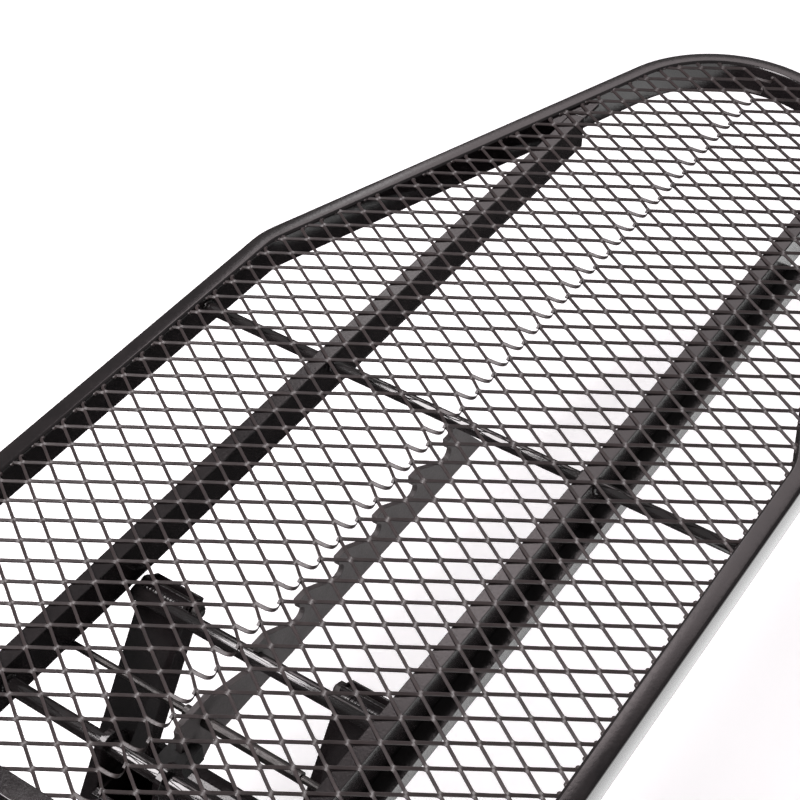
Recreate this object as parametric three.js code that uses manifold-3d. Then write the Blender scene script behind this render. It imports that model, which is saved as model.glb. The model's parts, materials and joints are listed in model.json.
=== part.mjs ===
// Hitch cargo carrier with a tilting, tapered deck of expanded metal.
// Millimetres, +Z up, +X to the rear, away from the vehicle.
// The origin is on the underside of the shank, below the hitch-pin hole.
import * as THREE from 'three';
import { mergeVertices } from 'three/addons/utils/BufferGeometryUtils.js';
import Module from 'manifold-3d';

const wasm = await Module();
wasm.setup();

// ---- driving dimensions ----
const GAP = 0.3; // left between pieces that touch
const RUNNING_GAP = 0.4; // radial play of a pin in its hole

// deck outline, measured from the deck's centre
const DECK_LENGTH = 1219.2;
const DECK_WIDTH = 609.6;
const NOSE_RADIUS = 141.9; // outer radius of the rounded rear end
const TAPER = THREE.MathUtils.degToRad(19.47);
const BEND_RADIUS = 76.2; // centre line of the bend from side to taper

// perimeter tube, 3/4 by 1-1/2 inch, standing on its narrow side
const RAIL = { width: 19.05, height: 38.1, wall: 1.65 };
const RAIL_TOP = 1.8; // above the middle of the expanded metal

// the two long tubes under the expanded metal
const INNER = { width: 15.9, height: 38.1, wall: 1.65 };
const INNER_FACE = 134.4; // centre line of the deck to the tube's near face
const INNER_TOP = -1.9;
const INNER_END = 396; // square end, its outer corner near the tapered rail
const CORNER_PLATE = { start: 370, tip: 430, thick: 4 };
const STIFFENER = { leg: 32.9, lip: 17, thick: 3, rear: 330 };

// expanded metal, drawn three times coarser than the real sheet
const SHEET_THICK = 3;
const DIAMOND_X = 82.05;
const DIAMOND_Y = 124.5;
const STRAND = 9;
const SEAM_Y = 2; // the two sheets meet just left of the centre line

// rods across the deck
const CROSS_ROD = { x: -80, z: -12, radius: 6 };
const AXLE = { x: -521.6, z: -20, radius: 7 };
const RACK_PIN = { x: -449, z: -47.3, radius: 3.25, reach: 170 };

// toothed rack on the centre line
const RACK = { thick: 5.6, bottom: -82, left: -478, right: -29, tip: -28, lobe: -93 };
const RACK_TAB = { from: -84, to: -75 }; // rises to the cross rod
const RACK_SLOPE = -72; // where the rack's sloped rear end starts
const RACK_STOP = -56.5; // the stop step, from the first notch
const NOTCH = { x: -378, z: -45, radius: 7.5, pitch: 57, count: 6 };
const HOOK_START = 0.5; // from the notch's centre to the hook's nose
const HOOK_LENGTH = 14;
const RAMP = THREE.MathUtils.degToRad(19); // way out of the first notch

// prop frame: two arms from the foot of the mast up to the bar in the rack
const PIVOT = { x: -528, z: -305, radius: 7 };
const BAR = { radius: 7, reach: 130 };
const ARM = { y: 103, width: 50.8, thick: 19.05, wall: 2, foot: 18, past: 13 };
const BRACE = { along: 150, radius: 13.45, wall: 2.5, reach: 128, stud: 24 };
const ARM_BOLT = 4; // past the bar, along the arm

// hitch side
const SHANK = { size: 50.8, wall: 4.8, front: -965, rear: -470 };
const PIN_HOLE_X = -905;
const SLEEVE = { outer: 17, reach: 76 };
const MAST = { x: -525, size: 50.8, wall: 4.8, top: -46 };
const EAR = { thick: 6, width: 44, bottom: -150, boltZ: -115 };
const WASHER = 2.5;
const HITCH_PIN = { radius: 7.95, tip: -50, elbow: 46, bend: 20, handle: 48 };
const CLIP = { y: -43, radius: 1.75, leg: 20, tail: 18 };

const BOLT = { radius: 4, head: 7.5, height: 5.3, nut: 6.5 };

// ---- worked-out places ----
const HALF_LENGTH = DECK_LENGTH / 2;
const HALF_WIDTH = DECK_WIDTH / 2;
const NOSE_X = HALF_LENGTH - NOSE_RADIUS;
const SHANK_TOP = PIVOT.z - SLEEVE.outer - GAP;
const SHANK_MID = SHANK_TOP - SHANK.size / 2;
const SHANK_BOTTOM = SHANK_TOP - SHANK.size;
const BOLT_SEAT = ARM.y + ARM.width / 2 + GAP;
const BAR_RISE = ARM.thick / 2 + GAP + BAR.radius; // the bar lies on the arm's upper side
const BAR_SWING = Math.hypot(NOTCH.x - PIVOT.x, NOTCH.z - PIVOT.z);
const ARM_LENGTH = Math.sqrt(BAR_SWING ** 2 - BAR_RISE ** 2);
const ARM_ANGLE = Math.atan2(NOTCH.z - PIVOT.z, NOTCH.x - PIVOT.x) - Math.asin(BAR_RISE / BAR_SWING);

// ---- materials ----
function paint(color, roughness, metalness) {
  return new THREE.MeshStandardMaterial({ color, roughness, metalness });
}
const BLACK_ENAMEL = paint(0x141416, 0.25, 0.3);
const SATIN_BLACK = paint(0x2c2a2b, 0.5, 0.3);
const BLACK_OXIDE = paint(0x1c1b1c, 0.35, 0.7);
const ZINC = paint(0xa9acb0, 0.3, 0.9);
const RUBBER = paint(0x0d0d0d, 0.8, 0);
const PLASTIC = paint(0x161616, 0.55, 0);

// ---- solids ----
function toSolid(geometry) {
  const bare = geometry.clone();
  bare.deleteAttribute('normal');
  bare.deleteAttribute('uv');
  const merged = mergeVertices(bare, 1e-4);
  return new wasm.Manifold(new wasm.Mesh({
    numProp: 3,
    vertProperties: new Float32Array(merged.attributes.position.array),
    triVerts: new Uint32Array(merged.index.array),
  }));
}

function toGeometry(solid) {
  const mesh = solid.getMesh();
  const geometry = new THREE.BufferGeometry();
  geometry.setAttribute('position', new THREE.BufferAttribute(mesh.vertProperties, 3));
  geometry.setIndex(new THREE.BufferAttribute(mesh.triVerts, 1));
  geometry.computeVertexNormals();
  return geometry;
}

function cut(geometry, ...tools) {
  return toGeometry(tools.reduce((solid, tool) => solid.subtract(toSolid(tool)), toSolid(geometry)));
}

function join(...geometries) {
  return toGeometry(geometries.map(toSolid).reduce((sum, solid) => sum.add(solid)));
}

// ---- shapes: an outline swept along one axis ----
function along(axis, shape, from, to, curveSegments = 8) {
  const depth = to - from;
  const geometry = new THREE.ExtrudeGeometry(shape, { depth, bevelEnabled: false, curveSegments });
  const place = new THREE.Matrix4();
  if (axis === 'x') place.set(0, 0, 1, from, 1, 0, 0, 0, 0, 1, 0, 0, 0, 0, 0, 1);
  if (axis === 'y') place.set(1, 0, 0, 0, 0, 0, -1, to, 0, 1, 0, 0, 0, 0, 0, 1);
  if (axis === 'z') place.makeTranslation(0, 0, from);
  return geometry.applyMatrix4(place);
}

function polygon(points) {
  return new THREE.Shape(points.map(([u, v]) => new THREE.Vector2(u, v)));
}

function rectangle(u0, u1, v0, v1) {
  return polygon([[u0, v0], [u1, v0], [u1, v1], [u0, v1]]);
}

function hollow(u0, u1, v0, v1, wall) {
  const shape = rectangle(u0, u1, v0, v1);
  shape.holes.push(rectangle(u0 + wall, u1 - wall, v0 + wall, v1 - wall));
  return shape;
}

function ring(outer, inner) {
  const shape = new THREE.Shape().absarc(0, 0, outer, 0, 2 * Math.PI);
  shape.holes.push(new THREE.Path().absarc(0, 0, inner, 0, 2 * Math.PI));
  return shape;
}

// a round bar along Y, from one y to another
function rod(radius, x, z, from, to, sides = 24) {
  const bar = new THREE.CylinderGeometry(radius, radius, to - from, sides);
  return bar.translate(x, (from + to) / 2, z);
}

// a round bar along X, as used for bolts in the prop's own frame
function rodAlongX(radius, y, z, from, to, sides = 16) {
  const bar = new THREE.CylinderGeometry(radius, radius, to - from, sides);
  return bar.rotateZ(Math.PI / 2).translate((from + to) / 2, y, z);
}

// a round bar along Z
function rodAlongZ(radius, x, y, from, to, sides = 16) {
  const bar = new THREE.CylinderGeometry(radius, radius, to - from, sides);
  return bar.rotateX(Math.PI / 2).translate(x, y, (from + to) / 2);
}

// a round wire along a flat path
function wire(path, radius, steps, sides = 10) {
  const circle = polygon(Array.from({ length: sides }, (_, i) => {
    const angle = (2 * Math.PI * i) / sides;
    return [radius * Math.cos(angle), radius * Math.sin(angle)];
  }));
  return new THREE.ExtrudeGeometry(circle, { extrudePath: path, steps, bevelEnabled: false });
}

// ---- deck outline: stations on the perimeter tube's centre line ----
// Each station has a place and a unit vector that points out of the deck.
function station(x, y, angle) {
  return { x, y, out: [Math.sin(angle), Math.cos(angle)] };
}

function arcStations(cx, cy, radius, from, to, count) {
  return Array.from({ length: count + 1 }, (_, i) => {
    const angle = from + ((to - from) * i) / count;
    return station(cx + radius * Math.sin(angle), cy + radius * Math.cos(angle), angle);
  });
}

const SIDE_Y = HALF_WIDTH - RAIL.width / 2;
const NOSE_R = NOSE_RADIUS - RAIL.width / 2;
const TAPER_END = station(NOSE_X + NOSE_R * Math.sin(TAPER), NOSE_R * Math.cos(TAPER), TAPER);
const CORNER_X = TAPER_END.x - (SIDE_Y - TAPER_END.y) / Math.tan(TAPER);
const BEND_X = CORNER_X - BEND_RADIUS * Math.tan(TAPER / 2);

const SIDE_LINE = [station(-HALF_LENGTH, SIDE_Y, 0), station(BEND_X, SIDE_Y, 0)];
const BEND_LINE = arcStations(BEND_X, SIDE_Y - BEND_RADIUS, BEND_RADIUS, 0, TAPER, 6);
const NOSE_LINE = arcStations(NOSE_X, 0, NOSE_R, TAPER, Math.PI / 2, 14);
const HALF_LINE = [...SIDE_LINE, ...BEND_LINE.slice(1), ...NOSE_LINE];

function offset(line, distance, side) {
  return line.map(({ x, y, out }) => [x + out[0] * distance, side * (y + out[1] * distance)]);
}

// pushes a line's two ends along itself, outward for a positive amount
function stretch(line, amount) {
  const first = line[0];
  const last = line[line.length - 1];
  const start = { ...first, x: first.x - first.out[1] * amount, y: first.y + first.out[0] * amount };
  const end = { ...last, x: last.x + last.out[1] * amount, y: last.y - last.out[0] * amount };
  return [start, ...line.slice(1, -1), end];
}

function perimeterTube(line, side) {
  const half = RAIL.width / 2;
  const bore = half - RAIL.wall;
  const shortened = stretch(line, -GAP / 2);
  const opened = stretch(line, 1);
  const outside = polygon([...offset(shortened, half, side), ...offset(shortened, -half, side).reverse()]);
  const inside = polygon([...offset(opened, bore, side), ...offset(opened, -bore, side).reverse()]);
  const bottom = RAIL_TOP - RAIL.height;
  return cut(
    along('z', outside, bottom, RAIL_TOP),
    along('z', inside, bottom + RAIL.wall, RAIL_TOP - RAIL.wall),
  );
}

function frontTube() {
  const reach = HALF_WIDTH - RAIL.width - GAP;
  const shape = hollow(
    -HALF_LENGTH, -HALF_LENGTH + RAIL.width, RAIL_TOP - RAIL.height, RAIL_TOP, RAIL.wall,
  );
  return along('y', shape, -reach, reach);
}

function railCap(side) {
  const half = RAIL.width / 2;
  const front = -HALF_LENGTH;
  const flange = along('x', rectangle(
    side * SIDE_Y - half, side * SIDE_Y + half, RAIL_TOP - RAIL.height, RAIL_TOP,
  ), front - 3, front);
  const bore = half - RAIL.wall - GAP;
  const plug = along('x', rectangle(
    side * SIDE_Y - bore, side * SIDE_Y + bore,
    RAIL_TOP - RAIL.height + RAIL.wall + GAP, RAIL_TOP - RAIL.wall - GAP,
  ), front - 1, front + 15);
  return join(flange, plug);
}

function innerTube(side) {
  const near = INNER_FACE;
  const shape = hollow(
    ...(side > 0 ? [near, near + INNER.width] : [-near - INNER.width, -near]),
    INNER_TOP - INNER.height, INNER_TOP, INNER.wall,
  );
  const front = -HALF_LENGTH + RAIL.width + GAP;
  const hole = rod(
    CROSS_ROD.radius + GAP, CROSS_ROD.x, CROSS_ROD.z, ...sorted(side * 120, side * 160),
  );
  return cut(along('x', shape, front, INNER_END), hole);
}

function sorted(a, b) {
  return a < b ? [a, b] : [b, a];
}

// angle under the long tube, its lip turned down on the outer side
function stiffener(side) {
  const { leg, lip, thick, rear } = STIFFENER;
  const top = INNER_TOP - INNER.height - GAP;
  const inner = side * INNER_FACE;
  const outer = side * (INNER_FACE + leg);
  const shape = polygon([
    [inner, top], [outer, top], [outer, top - lip],
    [outer - side * thick, top - lip], [outer - side * thick, top - thick], [inner, top - thick],
  ]);
  const hole = rod(
    RACK_PIN.radius + GAP, RACK_PIN.x, RACK_PIN.z, ...sorted(side * 155, side * 175), 16,
  );
  return cut(along('x', shape, -HALF_LENGTH + RAIL.width + GAP, rear), hole);
}

// plate that ties the long tube's end to the tapered rail, level with the tube's top
function cornerPlate(side) {
  const railAt = (x) => TAPER_END.y + (TAPER_END.x - x) * Math.tan(TAPER)
    - (RAIL.width / 2 + GAP) / Math.cos(TAPER);
  const { start, tip, thick } = CORNER_PLATE;
  const beside = INNER_FACE + INNER.width + GAP;
  const behind = INNER_END + GAP;
  const outline = [
    [start, beside], [behind, beside], [behind, INNER_FACE], [tip, INNER_FACE],
    [tip, railAt(tip)], [start, railAt(start)],
  ];
  return along('z', polygon(outline.map(([x, y]) => [x, side * y])), INNER_TOP - thick, INNER_TOP);
}

// ---- expanded metal ----
function insideDeck(x, y, margin) {
  const room = HALF_LINE.map(({ x: sx, y: sy, out }) => ({
    x: sx - out[0] * RAIL.width / 2,
    y: sy - out[1] * RAIL.width / 2,
    out,
  }));
  return room.every((s) => (x - s.x) * s.out[0] + (y - s.y) * s.out[1] < -margin);
}

function sheet(side) {
  const edge = side * SEAM_Y + (side > 0 ? GAP : 2 * -GAP + 2 * SEAM_Y);
  const outline = offset(stretch(HALF_LINE, -RAIL.width - GAP), -RAIL.width / 2 - GAP, side);
  const last = outline.length - 1;
  const nose = NOSE_X + Math.sqrt((NOSE_RADIUS - RAIL.width - GAP) ** 2 - edge ** 2);
  const shape = polygon([[outline[0][0], edge], ...outline.slice(0, last), [nose, edge]]);
  const halfX = DIAMOND_X / 2 - STRAND;
  const halfY = DIAMOND_Y / 2 - STRAND;
  const columns = Math.ceil(DECK_LENGTH / DIAMOND_X);
  for (let i = -columns; i <= columns; i += 1) {
    for (let j = 0; j <= 5; j += 1) {
      const x = (i * DIAMOND_X) / 2;
      const y = side * (DIAMOND_Y / 2 + (j * DIAMOND_Y) / 2) + edge;
      const corners = [[x - halfX, y], [x, y - halfY], [x + halfX, y], [x, y + halfY]];
      const fits = (i + j) % 2 === 0
        && corners.every(([u, v]) => u > -HALF_LENGTH + RAIL.width + STRAND
          && insideDeck(u, Math.abs(v), STRAND));
      if (fits) shape.holes.push(polygon(corners));
    }
  }
  return along('z', shape, -SHEET_THICK / 2, SHEET_THICK / 2);
}

// ---- toothed rack: six hooked notches, each open toward the mast ----
function rackPlate() {
  const hookEnd = Math.asin((NOTCH.radius - 0.1) / NOTCH.radius);
  const backRun = NOTCH.pitch - HOOK_START - HOOK_LENGTH;
  const backDrop = RACK.tip - NOTCH.z;
  const back = Math.atan2(backDrop, backRun) + Math.asin(NOTCH.radius / Math.hypot(backRun, backDrop));
  const stopX = NOTCH.x + RACK_STOP;
  const rampFoot = [NOTCH.x - NOTCH.radius * Math.sin(RAMP), NOTCH.z - NOTCH.radius * Math.cos(RAMP)];
  const rampTop = rampFoot[1] + (rampFoot[0] - stopX) * Math.tan(RAMP);
  const shape = new THREE.Shape();
  const rodFoot = CROSS_ROD.z - CROSS_ROD.radius - GAP;
  shape.moveTo(RACK.right, RACK.bottom);
  shape.lineTo(RACK_SLOPE, RACK.tip);
  shape.lineTo(RACK_TAB.to, RACK.tip);
  shape.lineTo(RACK_TAB.to, rodFoot);
  shape.lineTo(RACK_TAB.from, rodFoot);
  shape.lineTo(RACK_TAB.from, RACK.tip);
  for (let n = NOTCH.count - 1; n >= 0; n -= 1) {
    const x = NOTCH.x + n * NOTCH.pitch;
    const slope = n === 0 ? RAMP : back;
    if (n < NOTCH.count - 1) shape.lineTo(x + HOOK_START + HOOK_LENGTH, RACK.tip);
    shape.lineTo(x + HOOK_START, RACK.tip);
    shape.absarc(x, NOTCH.z, NOTCH.radius, hookEnd, -Math.PI / 2 - slope, true);
  }
  shape.lineTo(stopX, rampTop);
  shape.lineTo(stopX, RACK.tip + 1);
  shape.lineTo(RACK.left + 6, RACK.tip + 1);
  shape.lineTo(RACK.left, RACK.tip - 5);
  shape.lineTo(RACK.left, RACK.lobe + 8);
  shape.lineTo(RACK.left + 8, RACK.lobe);
  shape.lineTo(RACK.left + 22, RACK.lobe);
  shape.lineTo(RACK.left + 36, RACK.bottom);
  const half = RACK.thick / 2;
  return cut(
    along('y', shape, -half, half, 6),
    rod(RACK_PIN.radius + GAP, RACK_PIN.x, RACK_PIN.z, -10, 10, 16),
  );
}

// spacer on the rack's pin, from the rack to the right-hand tube
function rackSleeve(from, to) {
  const shape = ring(RACK_PIN.radius + 2, RACK_PIN.radius + GAP);
  return along('y', shape, from, to, 8).translate(RACK_PIN.x, 0, RACK_PIN.z);
}

// rubber block that straddles the rack's front end and meets the mast
function bumper() {
  const slot = RACK.thick / 2 + GAP;
  const shape = polygon([
    [-494, -12], [-463, -12], [-463, -slot], [RACK.left - GAP, -slot],
    [RACK.left - GAP, slot], [-463, slot], [-463, 12], [-494, 12],
  ]);
  return along('z', shape, -76, -57);
}

// ---- fasteners ----
function hexBolt(length) {
  const shankPart = rodAlongX(BOLT.radius, 0, 0, -length, 0.5);
  const head = rodAlongX(BOLT.head, 0, 0, 0, BOLT.height, 6);
  return join(shankPart, head);
}

function hexNut(bore, across, height) {
  const shape = polygon(Array.from({ length: 6 }, (_, i) => {
    const angle = (Math.PI * i) / 3;
    return [across * Math.cos(angle), across * Math.sin(angle)];
  }));
  shape.holes.push(new THREE.Path().absarc(0, 0, bore, 0, 2 * Math.PI));
  return along('x', shape, 0, height, 8);
}

// ---- prop frame, in its own frame: X up the arm, Z to its upper side ----
function armTube(side) {
  const y = side * ARM.y;
  const half = ARM.width / 2;
  const shape = hollow(y - half, y + half, -ARM.thick / 2, ARM.thick / 2, ARM.wall);
  const holes = [-1, 1].map((end) => rodAlongZ(
    BOLT.radius + GAP, BRACE.along + end * (BRACE.radius + BOLT.radius + 0.5), y, -20, 20,
  ));
  const bore = rod(PIVOT.radius + RUNNING_GAP, 0, 0, y - half - 1, y + half + 1);
  const cross = rod(BOLT.radius + GAP, ARM_LENGTH + ARM_BOLT, 0, y - half - 1, y + half + 1, 16);
  return cut(along('x', shape, -ARM.foot, ARM_LENGTH + ARM.past), bore, cross, ...holes);
}

// spacer tube round the cross bolt, inside the arm
function armSpacer(side) {
  const half = ARM.width / 2 - ARM.wall - GAP;
  const shape = ring(BOLT.radius + 2.5, BOLT.radius + GAP);
  return along('y', shape, side * ARM.y - half, side * ARM.y + half, 12)
    .translate(ARM_LENGTH + ARM_BOLT, 0, 0);
}

function brace() {
  return along('y', ring(BRACE.radius, BRACE.radius - BRACE.wall), -BRACE.reach, BRACE.reach)
    .translate(BRACE.along, 0, -ARM.thick / 2 - GAP - BRACE.radius);
}

function uBolt(side) {
  const y = side * ARM.y;
  const reach = BRACE.radius + BOLT.radius + 0.5;
  const bend = -ARM.thick / 2 - GAP - BRACE.radius;
  const point = (x, z) => new THREE.Vector3(x, y, z);
  const path = new THREE.CurvePath();
  const steps = 12;
  const turn = Array.from({ length: steps + 1 }, (_, i) => {
    const angle = Math.PI + (Math.PI * i) / steps;
    return point(BRACE.along + reach * Math.cos(angle), bend + reach * Math.sin(angle));
  });
  const points = [point(BRACE.along - reach, BRACE.stud), ...turn, point(BRACE.along + reach, BRACE.stud)];
  points.slice(1).forEach((end, i) => path.add(new THREE.LineCurve3(points[i], end)));
  return wire(path, BOLT.radius - 0.1, 40);
}

// ---- hitch side ----
function shankTube() {
  const half = SHANK.size / 2;
  const shape = hollow(-half, half, SHANK_BOTTOM, SHANK_TOP, SHANK.wall);
  const hole = rod(HITCH_PIN.radius + 0.25, PIN_HOLE_X, SHANK_MID, -40, 40);
  return cut(along('x', shape, SHANK.front, SHANK.rear), hole);
}

function shankCap() {
  const half = SHANK.size / 2;
  const flange = along('x', rectangle(-half, half, SHANK_BOTTOM, SHANK_TOP), SHANK.rear, SHANK.rear + 4);
  const bore = half - SHANK.wall - GAP;
  const plug = along('x', rectangle(
    -bore, bore, SHANK_MID - bore, SHANK_MID + bore,
  ), SHANK.rear - 18, SHANK.rear + 1);
  return join(flange, plug);
}

function mastTube() {
  const half = MAST.size / 2;
  const shape = hollow(MAST.x - half, MAST.x + half, -half, half, MAST.wall);
  const sleeveHole = rod(SLEEVE.outer + GAP, PIVOT.x, PIVOT.z, -40, 40);
  const boltHole = rod(BOLT.radius + GAP, MAST.x, EAR.boltZ, -40, 40, 16);
  return cut(along('z', shape, SHANK_TOP + GAP, MAST.top), sleeveHole, boltHole);
}

// plate on the mast's side, with the deck's axle through its rounded head
function ear(side) {
  const half = EAR.width / 2;
  const inner = MAST.size / 2 + GAP;
  const head = 14;
  const shape = new THREE.Shape();
  shape.moveTo(MAST.x - half, EAR.bottom);
  shape.lineTo(MAST.x + half, EAR.bottom);
  shape.lineTo(MAST.x + half, MAST.top - 8);
  shape.absarc(AXLE.x, AXLE.z, head, -0.2, Math.PI + 0.2, false);
  shape.lineTo(MAST.x - half, MAST.top - 8);
  return cut(
    along('y', shape, ...sorted(side * inner, side * (inner + EAR.thick))),
    rod(AXLE.radius + RUNNING_GAP, AXLE.x, AXLE.z, ...sorted(side * 20, side * 40)),
    rod(BOLT.radius + GAP, MAST.x, EAR.boltZ, ...sorted(side * 20, side * 40), 16),
  );
}

function gusset() {
  const front = MAST.x - MAST.size / 2 - GAP;
  const foot = SHANK_TOP + GAP;
  const shape = polygon([[front, foot], [front, foot + 120], [front - 12, foot + 120],
    [front - 120, foot + 12], [front - 120, foot]]);
  return along('y', shape, -3, 3);
}

function pivotSleeve() {
  return along('y', ring(SLEEVE.outer, PIVOT.radius + RUNNING_GAP), -SLEEVE.reach, SLEEVE.reach)
    .translate(PIVOT.x, 0, PIVOT.z);
}

function pivotBolt() {
  const seat = BOLT_SEAT + WASHER + GAP;
  return join(
    rod(PIVOT.radius, PIVOT.x, PIVOT.z, -seat - 15, seat + 0.5),
    rod(12.1, PIVOT.x, PIVOT.z, seat, seat + 8.8, 6),
  );
}

function pivotWasher(side) {
  const shape = ring(14, PIVOT.radius + GAP);
  return along('y', shape, ...sorted(side * BOLT_SEAT, side * (BOLT_SEAT + WASHER)))
    .translate(PIVOT.x, 0, PIVOT.z);
}

function hitchPin() {
  const { radius, tip, elbow, bend, handle } = HITCH_PIN;
  const steps = 8;
  const turn = Array.from({ length: steps + 1 }, (_, i) => {
    const angle = (Math.PI / 2) * (i / steps);
    return new THREE.Vector3(0, elbow + bend * Math.sin(angle), bend - bend * Math.cos(angle));
  });
  const points = [new THREE.Vector3(0, tip, 0), ...turn, new THREE.Vector3(0, elbow + bend, handle)];
  const path = new THREE.CurvePath();
  points.slice(1).forEach((end, i) => path.add(new THREE.LineCurve3(points[i], end)));
  const body = wire(path, radius, 48, 24).translate(PIN_HOLE_X, 0, SHANK_MID);
  return cut(body, rodAlongX(CLIP.radius + GAP, CLIP.y, SHANK_MID, PIN_HOLE_X - 20, PIN_HOLE_X + 20, 12));
}

function hitchClip() {
  const rise = HITCH_PIN.radius + CLIP.radius + RUNNING_GAP;
  const loop = rise / 2;
  const steps = 10;
  const point = (x, z) => new THREE.Vector3(PIN_HOLE_X + x, CLIP.y, SHANK_MID + z);
  const turn = Array.from({ length: steps + 1 }, (_, i) => {
    const angle = -Math.PI / 2 + (Math.PI * i) / steps;
    return point(CLIP.leg + loop * Math.cos(angle), loop + loop * Math.sin(angle));
  });
  const points = [point(-CLIP.leg, 0), ...turn, point(-CLIP.tail + 6, rise), point(-CLIP.tail - 4, rise + 5)];
  const path = new THREE.CurvePath();
  points.slice(1).forEach((end, i) => path.add(new THREE.LineCurve3(points[i], end)));
  return wire(path, CLIP.radius, 40, 8);
}

// ---- assembly ----
function node(name, geometry, material, parent) {
  const mesh = new THREE.Mesh(geometry, material);
  mesh.name = name;
  parent.add(mesh);
  return mesh;
}

function hitchGroup() {
  const group = new THREE.Group();
  node('shank', shankTube(), BLACK_ENAMEL, group);
  node('shank_end_cap', shankCap(), PLASTIC, group);
  node('mast', mastTube(), BLACK_ENAMEL, group);
  node('mast_gusset', gusset(), BLACK_ENAMEL, group);
  node('mast_ear_left', ear(1), BLACK_ENAMEL, group);
  node('mast_ear_right', ear(-1), BLACK_ENAMEL, group);
  const earSeat = MAST.size / 2 + EAR.thick + 2 * GAP;
  const bolt = node('ear_bolt', hexBolt(2 * earSeat + 12), BLACK_OXIDE, group);
  bolt.rotation.z = Math.PI / 2;
  bolt.position.set(MAST.x, earSeat, EAR.boltZ);
  const nut = node('ear_nut', hexNut(BOLT.radius + GAP, BOLT.head, BOLT.nut), BLACK_OXIDE, group);
  nut.rotation.z = -Math.PI / 2;
  nut.position.set(MAST.x, -earSeat, EAR.boltZ);
  node('prop_pivot_sleeve', pivotSleeve(), BLACK_ENAMEL, group);
  node('prop_pivot_bolt', pivotBolt(), BLACK_OXIDE, group);
  node('pivot_washer_left', pivotWasher(1), BLACK_OXIDE, group);
  node('pivot_washer_right', pivotWasher(-1), BLACK_OXIDE, group);
  const lock = node('prop_pivot_nut', hexNut(PIVOT.radius + GAP, 12.1, 11), BLACK_OXIDE, group);
  lock.rotation.z = -Math.PI / 2;
  lock.position.set(PIVOT.x, -BOLT_SEAT - WASHER - GAP, PIVOT.z);
  return group;
}

function deckGroup() {
  const group = new THREE.Group();
  [['left', 1], ['right', -1]].forEach(([hand, side]) => {
    node(`side_rail_${hand}`, perimeterTube(SIDE_LINE, side), BLACK_ENAMEL, group);
    node(`taper_rail_${hand}`, perimeterTube([...BEND_LINE, TAPER_END], side), BLACK_ENAMEL, group);
    node(`rear_bow_${hand}`, perimeterTube(NOSE_LINE, side), BLACK_ENAMEL, group);
    node(`rail_cap_${hand}`, railCap(side), PLASTIC, group);
    node(`inner_tube_${hand}`, innerTube(side), BLACK_ENAMEL, group);
    node(`stiffener_${hand}`, stiffener(side), BLACK_ENAMEL, group);
    node(`corner_plate_${hand}`, cornerPlate(side), BLACK_ENAMEL, group);
    node(`mesh_sheet_${hand}`, sheet(side), BLACK_ENAMEL, group);
  });
  node('front_tube', frontTube(), BLACK_ENAMEL, group);
  const railFace = HALF_WIDTH - RAIL.width - GAP;
  node('cross_rod', rod(CROSS_ROD.radius, CROSS_ROD.x, CROSS_ROD.z, -railFace, railFace), BLACK_ENAMEL, group);
  const tubeFace = INNER_FACE - GAP;
  node('hinge_axle', rod(AXLE.radius, AXLE.x, AXLE.z, -tubeFace, tubeFace), BLACK_ENAMEL, group);
  const { radius, x, z, reach } = RACK_PIN;
  node('rack_pin', rod(radius, x, z, -reach, reach, 16), BLACK_OXIDE, group);
  node('toothed_rack', rackPlate(), SATIN_BLACK, group);
  const rackFace = RACK.thick / 2 + GAP;
  node('rack_sleeve', rackSleeve(-100, -rackFace), BLACK_OXIDE, group);
  node('rack_collar', rackSleeve(rackFace, 16), BLACK_OXIDE, group);
  node('rack_bumper', bumper(), RUBBER, group);
  return group;
}

function propGroup() {
  const group = new THREE.Group();
  const reach = BRACE.radius + BOLT.radius + 0.5;
  node('prop_bar', rod(BAR.radius, ARM_LENGTH, BAR_RISE, -BAR.reach, BAR.reach), BLACK_ENAMEL, group);
  node('prop_brace', brace(), BLACK_ENAMEL, group);
  [['left', 1], ['right', -1]].forEach(([hand, side]) => {
    node(`prop_arm_${hand}`, armTube(side), BLACK_ENAMEL, group);
    node(`arm_spacer_${hand}`, armSpacer(side), BLACK_OXIDE, group);
    node(`u_bolt_${hand}`, uBolt(side), BLACK_OXIDE, group);
    const seat = ARM.width / 2 + GAP;
    const bolt = node(`arm_bolt_${hand}`, hexBolt(2 * seat + BOLT.nut + 2), BLACK_OXIDE, group);
    bolt.rotation.z = (side * Math.PI) / 2;
    bolt.position.set(ARM_LENGTH + ARM_BOLT, side * (ARM.y + seat), 0);
    const lock = node(`arm_nut_${hand}`, hexNut(BOLT.radius + GAP, BOLT.head, BOLT.nut), BLACK_OXIDE, group);
    lock.rotation.z = (-side * Math.PI) / 2;
    lock.position.set(ARM_LENGTH + ARM_BOLT, side * (ARM.y - seat), 0);
    [['upper', 1], ['lower', -1]].forEach(([place, end]) => {
      const nut = node(
        `u_nut_${hand}_${place}`, hexNut(BOLT.radius + GAP, BOLT.head, BOLT.nut), BLACK_OXIDE, group,
      );
      nut.rotation.y = -Math.PI / 2;
      nut.position.set(BRACE.along + end * reach, side * ARM.y, ARM.thick / 2 + GAP);
    });
  });
  group.rotation.y = -ARM_ANGLE;
  group.position.set(PIVOT.x, 0, PIVOT.z);
  return group;
}

function hitchPinGroup() {
  const group = new THREE.Group();
  node('hitch_pin', hitchPin(), ZINC, group);
  node('hitch_clip', hitchClip(), ZINC, group);
  return group;
}

const carrier = new THREE.Group();
carrier.add(hitchGroup(), deckGroup(), propGroup(), hitchPinGroup());
carrier.position.set(-PIN_HOLE_X, 0, -SHANK_BOTTOM);

export default carrier;
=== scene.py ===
"""Looks of the tilting hitch cargo carrier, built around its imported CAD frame. Metres, +Z up."""

import json
import math
import random

import bpy
from mathutils import Euler, Matrix, Vector


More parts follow.
